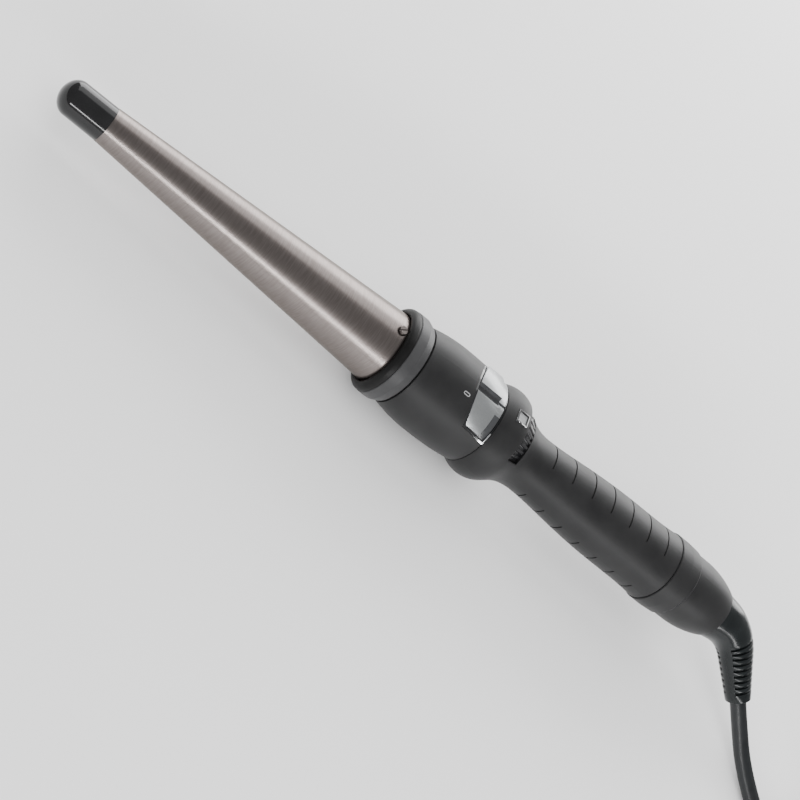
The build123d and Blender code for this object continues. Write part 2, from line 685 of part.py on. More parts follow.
root_pieces = {
    "cool_tip": cool_tip, "barrel": barrel, "barrel_screws": barrel_screws, "heater_plate": heater_plate,
    "heat_spreader_upper": heat_spreader_upper, "heat_spreader_lower": heat_spreader_lower,
    "spreader_clips": spreader_clips, "thermistor": thermistor, "thermal_fuse": thermal_fuse,
    "heater_leads": heater_leads, "barrel_seat": barrel_seat, "guard_lip": guard_lip,
    "guard_band": guard_band, "head_shell": head_shell, "rocker_bezel": rocker_bezel,
    "rocker_trim": rocker_trim, "switch_module": switch_module, "rocker_pin": rocker_pin,
    "switch_wires": switch_wires, "chassis": chassis, "potentiometer": potentiometer,
    "window_frame": window_frame, "window_lens": window_lens, "circuit_board": circuit_board,
    "board_parts": board_parts, "mains_wires": mains_wires, "grip_upper": grip_upper,
    "grip_lower": grip_lower, "case_screws": case_screws, "end_cap": end_cap,
    "brush_holder": brush_holder, "contact_springs": contact_springs,
}
moving_pieces = {
    "rocker": rocker, "dial_wheel": dial_wheel, "number_drum": number_drum, "dial_shaft": dial_shaft,
    "swivel_core": swivel_core, "slip_rings": slip_rings,
}

# ---- laying the wand down ----
# It rests on the guard's rim and on the bulge, tip slightly down.
lie_angle = degrees(asin((bulge_r - band_r) / (crest_x - band_x)))
laid = Rot(0, -lie_angle, 0)
wand_box = Compound(children=[laid * piece for piece in (cool_tip, barrel, guard_band, grip_lower, end_cap)])
wand_box = wand_box.bounding_box()
shift = Pos(-(wand_box.min.X + wand_box.max.X) / 2, 0, -wand_box.min.Z)
place = shift * laid


def placed(x, y, z):
    """A point of the wand's frame, laid down."""
    return (place * Pos(x, y, z)).position


# ---- strain relief ----
sleeve_start = cap_end_x - 7.0
sleeve_corner = Vector(cap_end_x + sleeve_neck, 0, 0)
sleeve_tip = sleeve_corner + sleeve_heading * sleeve_tail
sleeve_path = route([Vector(sleeve_start, 0, 0), sleeve_corner, sleeve_tip])
sleeve_stations = ((0.0, sleeve_r), (0.16, sleeve_r), (0.3, sleeve_r - 0.9), (0.5, sleeve_mid_r),
                   (0.75, 0.5 * (sleeve_mid_r + sleeve_end_r)), (1.0, sleeve_end_r))


def sleeve_section(share, radius):
    place_on_path = Plane(origin=sleeve_path @ share, z_dir=sleeve_path % share, x_dir=(0, 0, 1))
    return place_on_path * Circle(radius)


swivel_sleeve = loft([sleeve_section(share, radius).face() for share, radius in sleeve_stations])
swivel_sleeve += bar(flange_x, flange_x + sleeve_flange, sleeve_flange_r)
swivel_sleeve += bar(flange_x, sleeve_start, sleeve_r)

# ---- mains lead, coil and tie, in the laid-down frame ----
cord_points = [placed(*sleeve_tip)] + [Vector(*point) for point in cord_route]
tail_points = [Vector(*point) for point in cord_tail_route]
cord = wire(cord_points, cord_r)
cord_tail = wire(tail_points, cord_r)
print("bend radii", [round(radius, 1) for radius in bend_radii(cord_points) + bend_radii(tail_points)])
for run in (cord_points, tail_points):
    length = route(run).length
    volume_ratio = wire(run, cord_r).volume / (pi * cord_r ** 2 * length)
    print("length", round(length, 1), "volume ratio", round(volume_ratio, 4))

cord_d = 2 * cord_r
coil_outer_r = coil_inner_r + coil_wide_turns * cord_d
coil_height = coil_layers * cord_d + tie_thickness


def coil_ring(r0, r1, z0, z1, start=0.0, arc=360.0):
    """A stretch of ring about the coil's own upright axis."""
    section = Polyline([(r0, 0, z0), (r1, 0, z0), (r1, 0, z1), (r0, 0, z1)], close=True)
    return Pos(coil_centre) * Rot(0, 0, start) * revolve(make_face(section), Axis.Z, arc)


cord_coil = coil_ring(coil_inner_r, coil_outer_r, 0, coil_height)
tie_arc = degrees(tie_width / coil_outer_r)
coil_hole = coil_ring(coil_inner_r, coil_outer_r, tie_thickness, coil_height, start=tie_angle, arc=tie_arc)
cord_tie = coil_ring(coil_inner_r - tie_thickness, coil_outer_r + tie_thickness, 0,
                     coil_height + tie_thickness, start=tie_angle, arc=tie_arc)
cord_tie -= coil_hole
cord_coil -= cord_tie

# ---- plug, lying beside the coil; shaped along its own axis, then turned ----
last_run = tail_points[-1] - tail_points[-2]
plug_heading = degrees(atan2(last_run.Y, last_run.X))
plug_frame = Pos(tail_points[-1]) * Rot(0, 0, plug_heading)
body_x = plug_relief_length
face_x = body_x + plug_length
half_face, half_rear = plug_width / 2, plug_rear_width / 2
body_plan = Polyline([(body_x, -half_rear), (face_x - plug_face_length, -half_face), (face_x, -half_face),
                      (face_x, half_face), (face_x - plug_face_length, half_face), (body_x, half_rear)],
                     close=True)
plug_body = Pos(0, 0, -plug_thickness / 2) * extrude(make_face(body_plan), plug_thickness)
plug_body = fillet(plug_body.edges().filter_by(Axis.Z), 3.0)
plug_faces = plug_body.faces().sort_by(Axis.Z)
plug_body = fillet(plug_faces[-1].edges() + plug_faces[0].edges(), 2.0)
plug_relief = Cone(plug_relief_mouth_r, plug_relief_r, plug_relief_length)
plug_relief = Pos(plug_relief_length / 2, 0, 0) * Rot(0, 90, 0) * plug_relief
plug_pins = []
plug_pin_covers = []
for side in (-1, 1):
    y = side * plug_pin_spacing / 2
    cover_end = face_x + plug_pin_cover
    pin = bar(face_x - plug_pin_root, cover_end, plug_pin_core_r, y=y)
    tip_bar = bar(cover_end, face_x + plug_pin_length, plug_pin_r, y=y)
    pin += fillet(tip_bar.edges().sort_by(Axis.X)[-1], 0.9)
    plug_pins.append(pin)
    cover = bar(face_x - 2, cover_end, plug_pin_cover_r, y=y)
    plug_pin_covers.append(cover - bar(face_x - 3, cover_end + 1, plug_pin_core_r, y=y))
    plug_body -= bar(face_x - 2, face_x + 1, plug_pin_cover_r, y=y)
    plug_body -= bar(face_x - plug_pin_root, face_x, plug_pin_core_r, y=y)
free_pieces = {
    "cord": cord, "cord_tail": cord_tail, "cord_coil": cord_coil, "cord_tie": cord_tie,
    "plug_body": plug_frame * plug_body, "plug_relief": plug_frame * plug_relief,
    "plug_pins": plug_frame * together(*plug_pins),
    "plug_pin_covers": plug_frame * together(*plug_pin_covers),
}

# ---- files ----
wand_pieces = {**root_pieces, **moving_pieces, "swivel_sleeve": swivel_sleeve}
pieces = {name: place * piece for name, piece in wand_pieces.items()} | free_pieces
os.makedirs("parts", exist_ok=True)
for name, piece in pieces.items():
    export_step(piece, f"parts/{name}.step")
for label, point in {
    "rocker pivot": placed(rocker_x, 0, rocker_pivot_z), "dial axis": placed(wheel_x, 0, dial_lift),
    "swivel axis": placed(cap_end_x, 0, 0), "sleeve tip": placed(*sleeve_tip),
    "grip middle": placed((neck_x + grip_end_x) / 2, 0, 0),
    "axis direction": placed(1, 0, 0) - placed(0, 0, 0),
    "pin direction": (plug_frame * Pos(1, 0, 0)).position - plug_frame.position,
    "left pin": (plug_frame * Pos(face_x + plug_pin_length, -plug_pin_spacing / 2, 0)).position,
    "right pin": (plug_frame * Pos(face_x + plug_pin_length, plug_pin_spacing / 2, 0)).position,
}.items():
    print(label, [round(value, 4) for value in (point.X, point.Y, point.Z)])
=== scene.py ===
import json
from math import atan2, cos, degrees, pi, radians, sin, tan
import bmesh
import bpy
from mathutils import Matrix, Vector


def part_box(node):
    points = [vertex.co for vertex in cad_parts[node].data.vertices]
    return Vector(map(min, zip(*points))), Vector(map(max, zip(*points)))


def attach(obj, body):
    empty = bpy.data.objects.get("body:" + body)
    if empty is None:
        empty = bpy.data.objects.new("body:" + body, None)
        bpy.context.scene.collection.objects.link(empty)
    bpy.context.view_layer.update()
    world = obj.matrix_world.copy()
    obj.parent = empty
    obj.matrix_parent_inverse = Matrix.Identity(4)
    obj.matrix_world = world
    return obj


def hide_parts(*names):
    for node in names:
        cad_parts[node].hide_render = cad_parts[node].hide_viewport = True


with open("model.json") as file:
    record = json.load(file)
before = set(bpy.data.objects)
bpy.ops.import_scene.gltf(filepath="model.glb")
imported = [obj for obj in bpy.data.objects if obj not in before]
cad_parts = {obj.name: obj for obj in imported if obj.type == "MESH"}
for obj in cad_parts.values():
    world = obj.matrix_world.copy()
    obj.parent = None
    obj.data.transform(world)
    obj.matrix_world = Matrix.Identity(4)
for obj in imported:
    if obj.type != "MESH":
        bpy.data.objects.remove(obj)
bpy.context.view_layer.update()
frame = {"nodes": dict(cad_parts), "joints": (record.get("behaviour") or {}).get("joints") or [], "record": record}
nodes = frame["nodes"]
slotOfNode = {entry["node"]: entry["material_slot"] for entry in frame["record"]["subparts"]}
mm = 0.001

# The wand lies along +X with its tip a little lower; its own axis comes from the cord's joint.
# Stations are distances from the tip along that axis, in millimetres.
swivelJoint = [joint for joint in frame["joints"] if joint["name"] == "cord_swivel"][0]
axisPoint = Vector(swivelJoint["pos_m"])
axisDir = Vector(swivelJoint["axis"]).normalized()
topDir = Vector((-axisDir.z, 0, axisDir.x))
tipStart = axisPoint + axisDir * (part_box("cool_tip")[0].x - axisPoint.x) / axisDir.x


# A point at a station, a radius and an angle from the top, positive towards -Y
def onWand(station, radius=0.0, angle=0.0):
    turn = radians(angle)
    around = topDir * cos(turn) + Vector((0, -1, 0)) * sin(turn)
    return tipStart + axisDir * station * mm + around * radius * mm


# The other way round: distance from the tip, sideways, and height over the axis, in metres
def wandPlace(point):
    local = point - tipStart
    return local.dot(axisDir), local.y, local.dot(topDir)


view = {
    "lens": 72.0,
    "sensor": 36.0,
    "nearest": 0.01,
    "place": (-0.2432, -0.3216, 0.4279),
    "right": (0.7007, 0.3125, 0.6414),
    "up": (-0.5761, 0.7781, 0.2503),
}


def makeCamera():
    camera = bpy.data.objects.new("camera", bpy.data.cameras.new("camera"))
    camera.data.lens = view["lens"]
    camera.data.sensor_width = view["sensor"]
    camera.data.clip_start = view["nearest"]
    right = Vector(view["right"]).normalized()
    up = Vector(view["up"])
    up = (up - right * up.dot(right)).normalized()
    turn = Matrix((right, up, right.cross(up))).transposed().to_4x4()
    camera.matrix_world = Matrix.Translation(view["place"]) @ turn
    bpy.context.scene.collection.objects.link(camera)
    bpy.context.scene.camera = camera


makeCamera()
print("camera made")


def newMaterial(name):
    material = bpy.data.materials.new(name)
    material.use_nodes = True
    return material, material.node_tree, material.node_tree.nodes["Principled BSDF"]


def setInputs(node, **values):
    for name, value in values.items():
        node.inputs[name.replace("_", " ")].default_value = value


def objectCoords(tree, scale=(1.0, 1.0, 1.0)):
    coords = tree.nodes.new("ShaderNodeTexCoord")
    mapping = tree.nodes.new("ShaderNodeMapping")
    setInputs(mapping, Scale=scale)
    tree.links.new(coords.outputs["Object"], mapping.inputs["Vector"])
    return mapping.outputs["Vector"]


# Every noise pattern's roughness, and the part of its range that is used
pattern = {"roughness": 0.55, "from": 0.3, "to": 0.7}


def noise(tree, vector, scale, detail=4.0):
    texture = tree.nodes.new("ShaderNodeTexNoise")
    setInputs(texture, Scale=scale, Detail=detail, Roughness=pattern["roughness"])
    tree.links.new(vector, texture.inputs["Vector"])
    return texture.outputs["Fac"]


# Turns the middle of a 0 to 1 pattern into a range
def spread(tree, value, low, high):
    node = tree.nodes.new("ShaderNodeMapRange")
    setInputs(node, From_Min=pattern["from"], From_Max=pattern["to"], To_Min=low, To_Max=high)
    tree.links.new(value, node.inputs["Value"])
    return node.outputs["Result"]


def blendColours(tree, value, first, second, start=0.35, end=0.65):
    ramp = tree.nodes.new("ShaderNodeValToRGB")
    low, high = ramp.color_ramp.elements
    low.position, low.color = start, (*first, 1)
    high.position, high.color = end, (*second, 1)
    tree.links.new(value, ramp.inputs["Fac"])
    return ramp.outputs["Color"]


def addBump(tree, shader, value, distance, strength):
    bump = tree.nodes.new("ShaderNodeBump")
    setInputs(bump, Strength=strength, Distance=distance)
    tree.links.new(value, bump.inputs["Height"])
    tree.links.new(bump.outputs["Normal"], shader.inputs["Normal"])


def shaded(colour, factor):
    return tuple(value * factor for value in colour)


barrelFinish = {
    "dark": (0.19, 0.165, 0.155),
    "light": (0.225, 0.2, 0.19),
    "roughness": (0.28, 0.31),
    "grain": (2400, 160, 160),     # close rings along the barrel, long round it
    "cloud": 45,
    "edgeTint": (0.7, 0.68, 0.66, 1),
}


# Satin warm-grey coating with a fine turned grain
def barrelCoating():
    material, tree, shader = newMaterial("barrelCoating")
    grain = noise(tree, objectCoords(tree, barrelFinish["grain"]), 1.0, 2.0)
    cloud = noise(tree, objectCoords(tree, (barrelFinish["cloud"],) * 3), 1.0, 3.0)
    tree.links.new(blendColours(tree, grain, barrelFinish["dark"], barrelFinish["light"]),
                   shader.inputs["Base Color"])
    tree.links.new(spread(tree, cloud, *barrelFinish["roughness"]), shader.inputs["Roughness"])
    setInputs(shader, Metallic=1.0, Specular_Tint=barrelFinish["edgeTint"])
    return material


softFinish = {
    "dark": (0.0105, 0.0105, 0.011),
    "light": (0.015, 0.015, 0.0155),
    "cloud": 90.0,
    "grain": 2600.0,
    "grainDepth": 0.00002,
    "grainBump": 0.35,
    "roughnessRange": 0.06,
    "gloss": 0.24,
    "sheen": 0.05,
    "sheenRoughness": 0.4,
}


# Rubbery lacquer: matt, faintly mottled, with a very fine grain and a soft sheen
def softTouch(name="softTouch", shade=1.0, roughness=0.46):
    material, tree, shader = newMaterial(name)
    grain = noise(tree, objectCoords(tree), softFinish["grain"], 2.0)
    cloud = noise(tree, objectCoords(tree), softFinish["cloud"])
    dark, light = shaded(softFinish["dark"], shade), shaded(softFinish["light"], shade)
    tree.links.new(blendColours(tree, cloud, dark, light), shader.inputs["Base Color"])
    tree.links.new(spread(tree, cloud, roughness, roughness + softFinish["roughnessRange"]),
                   shader.inputs["Roughness"])
    setInputs(shader, Specular_IOR_Level=softFinish["gloss"], Sheen_Weight=softFinish["sheen"],
              Sheen_Roughness=softFinish["sheenRoughness"])
    addBump(tree, shader, grain, softFinish["grainDepth"], softFinish["grainBump"])
    return material


plasticFinish = {
    "cloud": 160.0,
    "lighter": 1.35,
    "grain": 1800.0,
    "grainDepth": 0.00001,
    "coatRoughness": 0.08,
}


# Moulded black plastic, from glossy to satin
def blackPlastic(name, colour, roughness, coat, grain=0.1, gloss=0.5):
    material, tree, shader = newMaterial(name)
    cloud = noise(tree, objectCoords(tree), plasticFinish["cloud"])
    fine = noise(tree, objectCoords(tree), plasticFinish["grain"], 2.0)
    lighter = shaded(colour, plasticFinish["lighter"])
    tree.links.new(blendColours(tree, cloud, colour, lighter), shader.inputs["Base Color"])
    tree.links.new(spread(tree, cloud, *roughness), shader.inputs["Roughness"])
    setInputs(shader, Specular_IOR_Level=gloss, Coat_Weight=coat,
              Coat_Roughness=plasticFinish["coatRoughness"])
    addBump(tree, shader, fine, plasticFinish["grainDepth"], grain)
    return material


metalFinish = {
    "lines": (4000, 250, 250),
    "lineDepth": 0.000006,
    "cloud": 300.0,
    "darker": 0.85,
    "roughnessRange": 0.1,
}


# Plated or machined metal with short lines along the wand's length
def metal(name, colour, roughness, scratch=0.2):
    material, tree, shader = newMaterial(name)
    lines = noise(tree, objectCoords(tree, metalFinish["lines"]), 1.0, 3.0)
    cloud = noise(tree, objectCoords(tree), metalFinish["cloud"], 3.0)
    darker = shaded(colour, metalFinish["darker"])
    tree.links.new(blendColours(tree, cloud, darker, colour), shader.inputs["Base Color"])
    tree.links.new(spread(tree, lines, roughness, roughness + metalFinish["roughnessRange"]),
                   shader.inputs["Roughness"])
    setInputs(shader, Metallic=1.0)
    addBump(tree, shader, lines, metalFinish["lineDepth"], scratch)
    return material


silverFinish = {
    "dark": (0.24, 0.25, 0.255),
    "light": (0.33, 0.34, 0.345),
    "flakes": 5200.0,
    "flakeRange": (0.1, 0.8),
    "flakeDepth": 0.000006,
    "flakeBump": 0.3,
    "cloud": 220.0,
    "roughness": (0.3, 0.38),
    "metallic": 0.75,
    "coat": 0.25,
    "coatRoughness": 0.2,
}


# Pearly silver paint with fine flakes, as on plated switches
def silverLacquer():
    material, tree, shader = newMaterial("silverLacquer")
    flakes = tree.nodes.new("ShaderNodeTexVoronoi")
    setInputs(flakes, Scale=silverFinish["flakes"])
    tree.links.new(objectCoords(tree), flakes.inputs["Vector"])
    tree.links.new(blendColours(tree, flakes.outputs["Distance"], silverFinish["dark"],
                                silverFinish["light"], *silverFinish["flakeRange"]),
                   shader.inputs["Base Color"])
    cloud = noise(tree, objectCoords(tree), silverFinish["cloud"], 3.0)
    tree.links.new(spread(tree, cloud, *silverFinish["roughness"]), shader.inputs["Roughness"])
    setInputs(shader, Metallic=silverFinish["metallic"], Coat_Weight=silverFinish["coat"],
              Coat_Roughness=silverFinish["coatRoughness"])
    addBump(tree, shader, flakes.outputs["Distance"], silverFinish["flakeDepth"],
            silverFinish["flakeBump"])
    return material


plainFinish = {
    "cloud": 240.0,
    "darker": 0.88,
    "roughnessRange": 0.08,
    "grain": 1500.0,
    "grainDepth": 0.00001,
    "grainBump": 0.2,
}


# Unpainted plastic, ceramic and boards, mostly inside
def plainPlastic(name, colour, roughness):
    material, tree, shader = newMaterial(name)
    cloud = noise(tree, objectCoords(tree), plainFinish["cloud"])
    fine = noise(tree, objectCoords(tree), plainFinish["grain"], 2.0)
    darker = shaded(colour, plainFinish["darker"])
    tree.links.new(blendColours(tree, cloud, darker, colour), shader.inputs["Base Color"])
    tree.links.new(spread(tree, cloud, roughness, roughness + plainFinish["roughnessRange"]),
                   shader.inputs["Roughness"])
    addBump(tree, shader, fine, plainFinish["grainDepth"], plainFinish["grainBump"])
    return material


lensFinish = {
    "colour": (0.62, 0.63, 0.64, 1),
    "transmission": 0.55,
    "refraction": 1.45,
    "cloud": 500.0,
    "roughness": (0.02, 0.06),
}


# A slightly milky window
def clearLens():
    material, tree, shader = newMaterial("clearLens")
    cloud = noise(tree, objectCoords(tree), lensFinish["cloud"], 2.0)
    tree.links.new(spread(tree, cloud, *lensFinish["roughness"]), shader.inputs["Roughness"])
    setInputs(shader, Base_Color=lensFinish["colour"], IOR=lensFinish["refraction"],
              Transmission_Weight=lensFinish["transmission"])
    return material


materials = {material.name: material for material in (
    barrelCoating(),
    softTouch(),
    softTouch("softBand", 2.6, 0.4),
    blackPlastic("glossTip", (0.008, 0.008, 0.0085), (0.09, 0.14), 0.2, gloss=0.3),
    blackPlastic("heatPlastic", (0.006, 0.006, 0.006), (0.38, 0.46), 0.0, 0.2, 0.14),
    blackPlastic("bezelGloss", (0.008, 0.008, 0.009), (0.1, 0.15), 0.5),
    blackPlastic("wheelBlack", (0.010, 0.010, 0.011), (0.2, 0.27), 0.25),
    blackPlastic("cordSheath", (0.010, 0.011, 0.012), (0.32, 0.4), 0.0, 0.12, 0.3),
    blackPlastic("sleeveGloss", (0.007, 0.0085, 0.009), (0.2, 0.27), 0.05, 0.1, 0.24),
    # Painted shade: a dark satin grey for the rocker's valley wall and the ledge behind the lower pad, where shade
    # falls
    blackPlastic("rockerPaintedShade", (0.03, 0.031, 0.033), (0.25, 0.32), 0.1),
    metal("screwSteel", (0.12, 0.105, 0.1), 0.3),
    metal("brightTrim", (0.85, 0.86, 0.88), 0.12, 0.1),
    metal("nickel", (0.72, 0.70, 0.66), 0.2),
    silverLacquer(),
    clearLens(),
    plainPlastic("drumGrey", (0.55, 0.56, 0.58), 0.4),
    plainPlastic("ceramicWhite", (0.8, 0.78, 0.72), 0.5),
    plainPlastic("boardGreen", (0.03, 0.16, 0.07), 0.35),
    plainPlastic("siliconeRed", (0.5, 0.05, 0.04), 0.4),
    plainPlastic("markGrey", (0.32, 0.325, 0.33), 0.5),
)}
finishOfSlot = {
    "tip_plastic": "glossTip", "barrel_metal": "barrelCoating", "steel": "screwSteel",
    "ceramic": "ceramicWhite", "aluminium": "nickel", "inner_wire": "siliconeRed",
    "heat_plastic": "heatPlastic", "soft_touch": "softTouch", "gloss_black": "bezelGloss",
    "bright_trim": "brightTrim", "clear_lens": "clearLens", "board_green": "boardGreen",
    "contact_brass": "nickel", "silver_rocker": "silverLacquer", "drum_grey": "drumGrey",
    "cord_rubber": "cordSheath", "tie_plastic": "heatPlastic",
}
finishOfNode = {"guard_band": "softBand", "dial_wheel": "wheelBlack"}

for nodeName, nodeObject in nodes.items():
    finish = finishOfNode.get(nodeName, finishOfSlot[slotOfNode[nodeName]])
    nodeObject.data.materials.clear()
    nodeObject.data.materials.append(materials[finish])
print("finishes set on", len(nodes), "nodes")


# Ends a bmesh and puts it in the scene as a piece that rides on a body
def finishPiece(name, bm, finishes, body, replaced=None):
    mesh = bpy.data.meshes.new(name)
    bm.to_mesh(mesh)
    bm.free()
    for finish in finishes:
        mesh.materials.append(materials[finish])
    piece = bpy.data.objects.new(name, mesh)
    bpy.context.scene.collection.objects.link(piece)
    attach(piece, body)
    if replaced:
        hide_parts(replaced)
    return piece


def softenEdges(piece, width, sharperThan, harden=True):
    bevel = piece.modifiers.new("softEdges", "BEVEL")
    bevel.width = width
    bevel.segments = 2
    bevel.limit_method = "ANGLE"
    bevel.angle_limit = radians(sharperThan)
    bevel.harden_normals = harden


def smoothFaces(bm):
    for face in bm.faces:
        face.smooth = True


# Spins an outline of (x, radius) points once round X
def spinOutline(outline, sides, closed=False):
    bm = bmesh.new()
    verts = [bm.verts.new((along, 0, radius)) for along, radius in outline]
    pairs = zip(verts, verts[1:] + verts[:1]) if closed else zip(verts, verts[1:])
    edges = [bm.edges.new(pair) for pair in pairs]
    bmesh.ops.spin(bm, geom=verts + edges, axis=(1, 0, 0), cent=(0, 0, 0), angle=2 * pi,
                   steps=sides, use_merge=True)
    return bm


lead = {
    "radius": 0.0034,
    "length": 2.3,
    "route": [(0.19772, -0.01812, 0.01291), (0.2071, -0.0260, 0.00845), (0.2176, -0.0362, 0.0045),
              (0.2315, -0.0505, 0.0034), (0.2465, -0.0618, 0.0037), (0.2635, -0.0692, 0.0070),
              (0.2815, -0.0726, 0.0122), (0.2990, -0.0734, 0.0166)],
    "coilCentre": (0.318, -0.0287),
    "startAngle": -95.0,
    "endAngle": -72.5,
    "turns": [(0.0444, 0.0178), (0.0444, 0.0110), (0.0376, 0.0110), (0.0376, 0.0178),
              (0.0308, 0.0178), (0.0308, 0.0110), (0.0308, 0.0042), (0.0376, 0.0042),
              (0.0444, 0.0042)],     # radius and height of each turn
    "pointsPerTurn": 16,
    "pointsPerShift": 4,
    "tail": [(0.3412, -0.0678, 0.0045), (0.3506, -0.0644, 0.0052), (0.3598, -0.0607, 0.0065)],
}


# Nine turns side by side and on each other, each moving over to the next in its last points
def coilPoints():
    count, shift = lead["pointsPerTurn"], lead["pointsPerShift"]
    turns = lead["turns"] + lead["turns"][-1:]
    extra = int(count * (lead["endAngle"] - lead["startAngle"]) / 360)
    stretch = 1 / cos(pi / count)     # control points stand a little outside the turns
    points = []
    for index in range(count * len(lead["turns"]) + extra + 1):
        turn, step = divmod(index, count)
        radius, height = turns[turn]
        if step > count - shift:
            share = (step - count + shift) / shift
            nextRadius, nextHeight = turns[turn + 1]
            radius += (nextRadius - radius) * share
            height += (nextHeight - height) * share
        angle = radians(lead["startAngle"] + 360 * index / count)
        points.append((lead["coilCentre"][0] + radius * stretch * cos(angle),
                       lead["coilCentre"][1] + radius * stretch * sin(angle), height))
    return points


def makeCord():
    curve = bpy.data.curves.new("leadCord", "CURVE")
    curve.dimensions = "3D"
    curve.bevel_depth = lead["radius"]
    curve.bevel_resolution = 6
    curve.resolution_u = 6
    curve.use_fill_caps = True
    points = lead["route"] + coilPoints() + lead["tail"]
    spline = curve.splines.new("NURBS")
    spline.points.add(len(points) - 1)
    for point, place in zip(spline.points, points):
        point.co = (*place, 1)
    spline.order_u = 3
    spline.use_endpoint_u = True
    cord = bpy.data.objects.new("leadCord", curve)
    bpy.context.scene.collection.objects.link(cord)
    curve.materials.append(materials["cordSheath"])
    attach(cord, "swivel")
    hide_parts("cord", "cord_tail", "cord_coil")
    return cord


leadCord = makeCord()
print("cord laid")

barrelShape = {
    "outside": [(18.0, 6.55), (18.1, 6.618), (50.0, 8.6), (80.0, 10.46), (110.0, 12.32),
                (141.2, 14.255), (147.0, 14.25)],     # station and radius
    "wall": 1.15,
    "sides": 160,
    "edge": 0.00008,
}


# A thin turned tube, so that its reflections run straight
def makeBarrel():
    outside = barrelShape["outside"]
    inside = [(station, radius - barrelShape["wall"]) for station, radius in reversed(outside)]
    outline = [(station * mm, radius * mm) for station, radius in outside + inside]
    bm = spinOutline(outline, barrelShape["sides"], closed=True)
    bmesh.ops.remove_doubles(bm, verts=bm.verts, dist=0.000001)
    bmesh.ops.recalc_face_normals(bm, faces=bm.faces)
    turn = Matrix((axisDir, Vector((0, 1, 0)), topDir)).transposed().to_4x4()
    bmesh.ops.transform(bm, matrix=Matrix.Translation(tipStart) @ turn, verts=bm.verts)
    smoothFaces(bm)
    piece = finishPiece("barrelTube", bm, ["barrelCoating"], "wand", "barrel")
    softenEdges(piece, barrelShape["edge"], 30)


makeBarrel()
print("barrel turned")

sleeve = {
    "start": 315.7,      # station where it begins, inside the end cap
    "corner": 337.7,     # station where it turns off the axis
    "heading": (0.71, -0.604, -0.362),     # after the bend: along the wand, along Y, upwards
    "bend": 24.0,
    "tail": 30.0,
    "profile": [(0.0, 10.35), (0.16, 10.35), (0.3, 9.45), (0.4, 8.65), (0.5, 7.9), (0.75, 6.55),
                (1.0, 5.25)],     # share of the length and radius
    "neckRows": 14,
    "ribsFrom": 0.50,
    "ribsTo": 0.955,
    "ribs": 9,
    "slotShare": 0.42,
    "slotDepth": 1.25,
    "webAngles": (-24.0, 156.0),     # two plain webs join the ribs
    "webHalf": 24.0,
    "sides": 60,
    "edge": 0.00018,
}


def sleeveRadius(share):
    profile = sleeve["profile"]
    for (before, first), (after, second) in zip(profile, profile[1:]):
        if share <= after:
            return first + (second - first) * (share - before) / (after - before)
    return profile[-1][1]


# Shares of the length: smooth neck rows, then a slot and a rib in turn
def sleeveRows():
    rows = [sleeve["ribsFrom"] * index / sleeve["neckRows"]
            for index in range(sleeve["neckRows"] + 1)]
    pitch = (sleeve["ribsTo"] - sleeve["ribsFrom"]) / sleeve["ribs"]
    slots = []
    for index in range(sleeve["ribs"]):
        begin = sleeve["ribsFrom"] + index * pitch
        slots.append((begin, begin + pitch * sleeve["slotShare"]))
        rows += slots[-1]
    return sorted(set(rows)) + [sleeve["ribsTo"], 1.0], slots


# The bent centre line: its length, its binormal, and the place and sideways direction at a run
def sleevePath():
    heading = Vector(sleeve["heading"]).normalized()
    target = axisDir * heading.x + Vector((0, 1, 0)) * heading.y + topDir * heading.z
    side = (target - axisDir * target.dot(axisDir)).normalized()
    turn = axisDir.angle(target)
    bend = sleeve["bend"] * mm
    firstRun = (sleeve["corner"] - sleeve["start"]) * mm - bend * tan(turn / 2)
    arcRun = bend * turn
    lastRun = sleeve["tail"] * mm - bend * tan(turn / 2)
    begin = onWand(sleeve["start"])

    def placeAt(run):
        angle = min(max((run - firstRun) / bend, 0), turn)
        facing = axisDir * cos(angle) + side * sin(angle)
        point = begin + axisDir * min(run, firstRun)
        point += (axisDir * sin(angle) + side * (1 - cos(angle))) * bend
        point += facing * max(run - firstRun - arcRun, 0)
        return point, side * cos(angle) - axisDir * sin(angle)

    return firstRun + arcRun + lastRun, axisDir.cross(side), placeAt


def onSlot(face, slots):
    centre = face.calc_center_median()
    if not any(low < centre.x < high for low, high in slots):
        return False
    angle = degrees(atan2(centre.z, centre.y))
    gaps = [abs((angle - web + 180) % 360 - 180) for web in sleeve["webAngles"]]
    return min(gaps) > sleeve["webHalf"]


# Spun straight, slotted, then bent along its path
def makeSleeve():
    rows, slots = sleeveRows()
    outline = [(0.0, 0.0)] + [(share, sleeveRadius(share)) for share in rows] + [(1.0, 0.0)]
    bm = spinOutline(outline, sleeve["sides"])
    bmesh.ops.remove_doubles(bm, verts=bm.verts, dist=0.00001)
    slotFaces = [face for face in bm.faces if onSlot(face, slots)]
    made = bmesh.ops.extrude_face_region(bm, geom=slotFaces)
    for vert in (item for item in made["geom"] if isinstance(item, bmesh.types.BMVert)):
        radius = (vert.co.y ** 2 + vert.co.z ** 2) ** 0.5
        shrink = (radius - sleeve["slotDepth"]) / radius
        vert.co.y *= shrink
        vert.co.z *= shrink
    bmesh.ops.delete(bm, geom=slotFaces, context="FACES")
    total, binormal, placeAt = sleevePath()
    for vert in bm.verts:
        point, across = placeAt(vert.co.x * total)
        vert.co = point + (across * vert.co.y + binormal * vert.co.z) * mm
    bmesh.ops.recalc_face_normals(bm, faces=bm.faces)
    smoothFaces(bm)
    piece = finishPiece("reliefSleeve", bm, ["sleeveGloss"], "swivel",
                        "swivel_sleeve")
    softenEdges(piece, sleeve["edge"], 40, harden=False)
    return piece


reliefSleeve = makeSleeve()
print("strain relief made")


